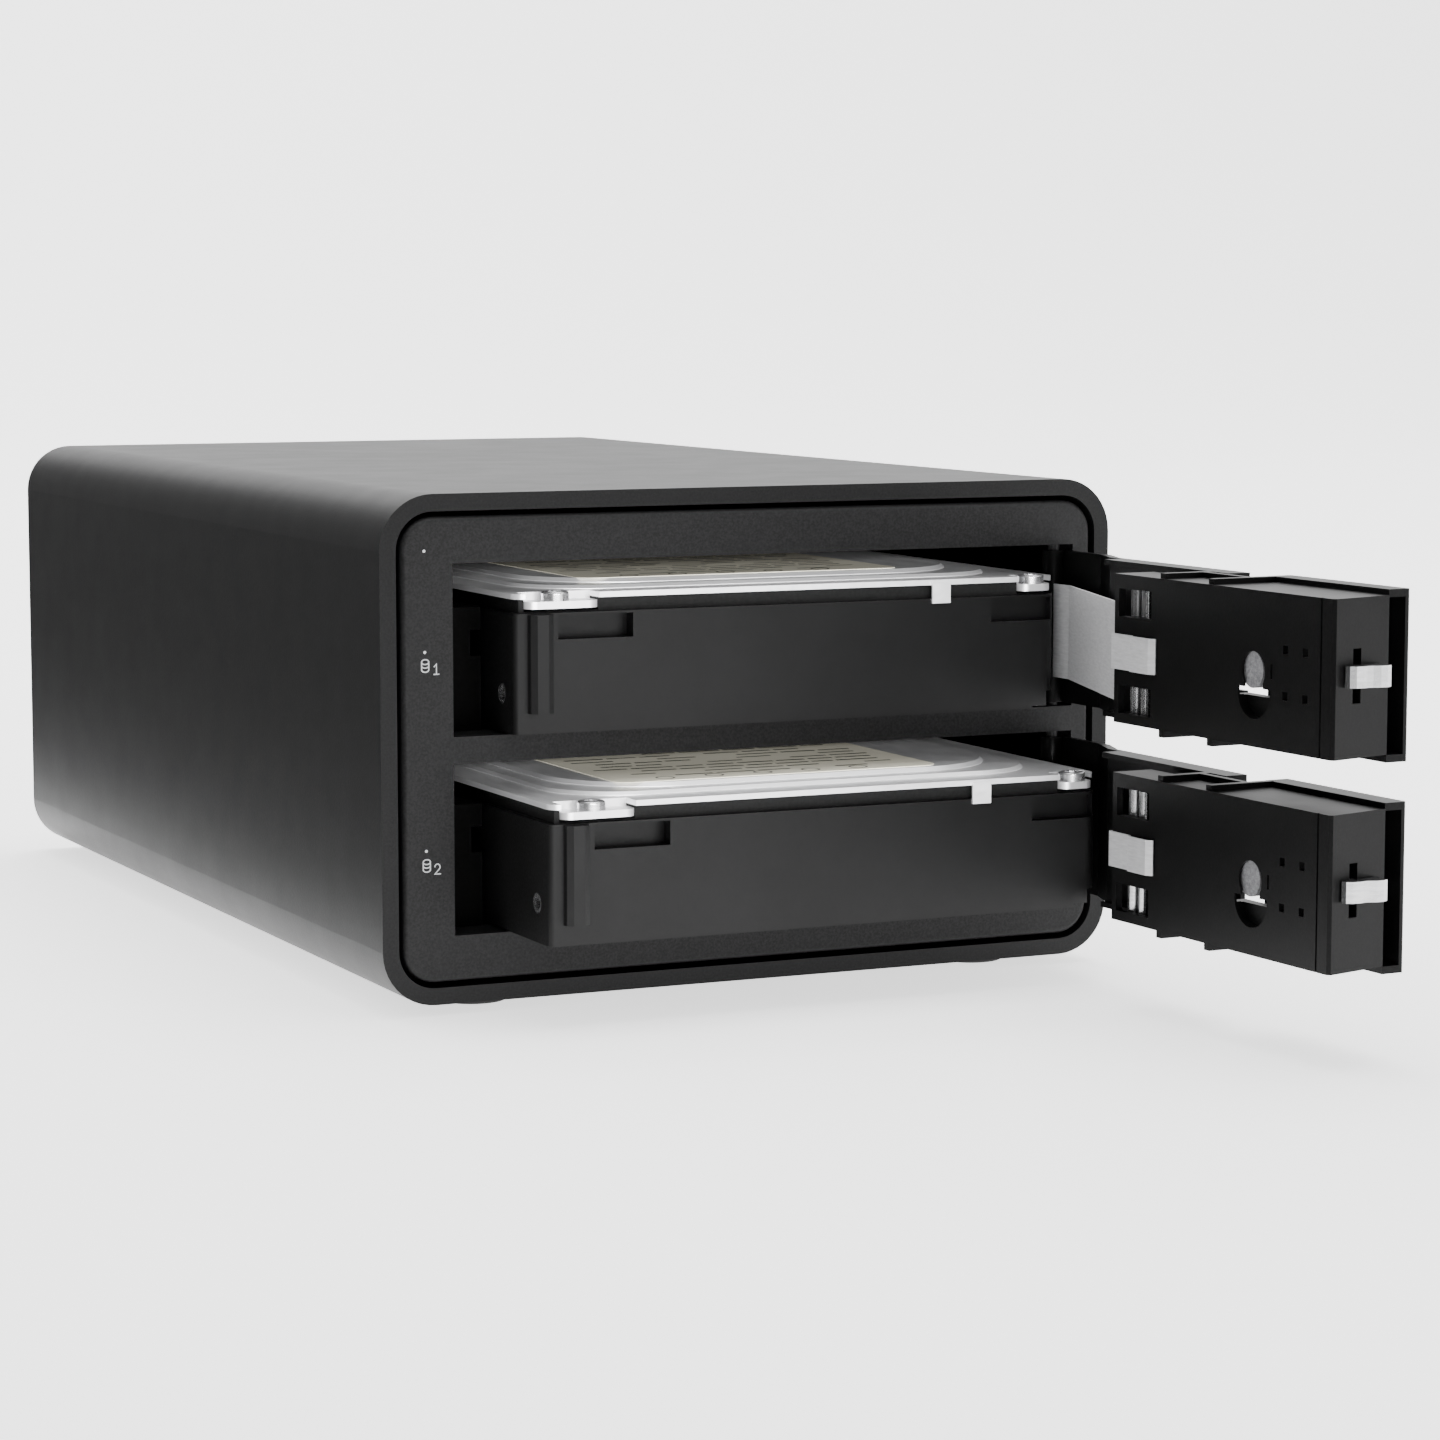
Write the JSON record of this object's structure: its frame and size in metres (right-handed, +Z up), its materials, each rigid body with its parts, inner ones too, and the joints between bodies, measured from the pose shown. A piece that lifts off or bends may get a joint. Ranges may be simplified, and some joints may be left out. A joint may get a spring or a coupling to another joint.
{
  "type": "network attached storage",
  "caption": "Two-bay black desktop storage box with both drive doors swung open and the 3.5 inch drives drawn part way out.",
  "frame": {"origin": "middle of the whole open object's footprint, on the surface that its feet stand on", "axes": "+X to the right as seen from the front, +Y from the front to the back, +Z up"},
  "size_m": [0.1358, 0.3182, 0.0857],
  "materials": {
    "case_black": "fine black texture coat",
    "panel_black": "satin",
    "bezel_black": "fine spark texture",
    "foot_rubber": "matte",
    "light_pipe": "clear",
    "cage_black": "matte",
    "circuit_green": "satin",
    "socket_black": "satin",
    "heatsink_silver": "satin",
    "bright_steel": "polished",
    "screw_black": "satin",
    "fan_black": "satin",
    "button_black": "satin",
    "door_black": "satin",
    "slider_grey": "satin",
    "strap_steel": "brushed",
    "drive_cast_black": "black coated casting",
    "gasket_black": "matte",
    "drive_lid_silver": "satin",
    "label_paper": "matte"
  },
  "bodies": {
    "chassis": {"case_tube": "case_black", "rear_panel": "panel_black", "front_bezel": "bezel_black", "bezel_clips": "bezel_black", "rubber_feet": "foot_rubber", "led_light_pipes": "light_pipe", "drive_cage": "cage_black", "guide_rails_left": "cage_black", "guide_rails_right": "cage_black", "backplane_board": "circuit_green", "main_board": "circuit_green", "backplane_sockets": "socket_black", "power_inlet": "socket_black", "processor_heatsink": "heatsink_silver", "ethernet_port": "bright_steel", "usb_port": "bright_steel", "rear_panel_screws": "screw_black", "fan_screws": "screw_black", "fan_frame": "fan_black", "button_switch": "button_black", "catch_pillar_1": "cage_black", "hinge_pin_1": "screw_black", "catch_pillar_2": "cage_black", "hinge_pin_2": "screw_black"},
    "fan": {"fan_rotor": "fan_black"},
    "button": {"power_button": "button_black"},
    "drive_1": {"drive_1_base": "drive_cast_black", "drive_1_gasket": "gasket_black", "drive_1_cover": "drive_lid_silver", "drive_1_screws": "bright_steel", "drive_1_label": "label_paper", "drive_1_board": "circuit_green", "strap_1_rear": "strap_steel"},
    "door_1": {"door_1_frame": "door_black", "door_1_grip": "door_black", "strap_1_front": "strap_steel", "strap_1_anchor": "bright_steel"},
    "latch_1": {"latch_1_bolt": "bright_steel", "latch_1_slider": "slider_grey", "latch_1_spring": "bright_steel"},
    "drive_2": {"drive_2_base": "drive_cast_black", "drive_2_gasket": "gasket_black", "drive_2_cover": "drive_lid_silver", "drive_2_screws": "bright_steel", "drive_2_label": "label_paper", "drive_2_board": "circuit_green", "strap_2_rear": "strap_steel"},
    "door_2": {"door_2_frame": "door_black", "door_2_grip": "door_black", "strap_2_front": "strap_steel", "strap_2_anchor": "bright_steel"},
    "latch_2": {"latch_2_bolt": "bright_steel", "latch_2_slider": "slider_grey", "latch_2_spring": "bright_steel"}
  },
  "joints": [
    {"name": "drive_1_slide", "type": "slide", "parent": "chassis", "child": "drive_1", "axis": [0, 1, 0], "range_m": [-0.00198, 0.0228]},
    {"name": "door_1_hinge", "type": "hinge", "parent": "chassis", "child": "door_1", "pos_m": [0.0582, -0.05436, 0.0601], "axis": [0, 0, 1], "range_deg": [-91.95, 8]},
    {"name": "latch_1_slide", "type": "slide", "parent": "door_1", "child": "latch_1", "axis": [0.034, -0.9994, 0], "range_m": [-0.0002, 0.0013], "stiffness_N_per_m": 150},
    {"name": "drive_2_slide", "type": "slide", "parent": "chassis", "child": "drive_2", "axis": [0, 1, 0], "range_m": [-0.00327, 0.0376]},
    {"name": "door_2_hinge", "type": "hinge", "parent": "chassis", "child": "door_2", "pos_m": [0.0582, -0.05436, 0.0273], "axis": [0, 0, 1], "range_deg": [-91.95, 8]},
    {"name": "latch_2_slide", "type": "slide", "parent": "door_2", "child": "latch_2", "axis": [0.034, -0.9994, 0], "range_m": [-0.0002, 0.0013], "stiffness_N_per_m": 150},
    {"name": "fan_spin", "type": "hinge", "parent": "chassis", "child": "fan", "pos_m": [0.023, 0.14844, 0.0438], "axis": [0, 1, 0], "continuous": true},
    {"name": "power_button_press", "type": "slide", "parent": "chassis", "child": "button", "axis": [0, -1, 0], "range_m": [0, 0.002], "stiffness_N_per_m": 250}
  ],
  "couplings": [
    {"joint": "door_1_hinge", "follows": "drive_1_slide", "rad_per_m": -70.38},
    {"joint": "door_2_hinge", "follows": "drive_2_slide", "rad_per_m": -42.68}
  ]
}
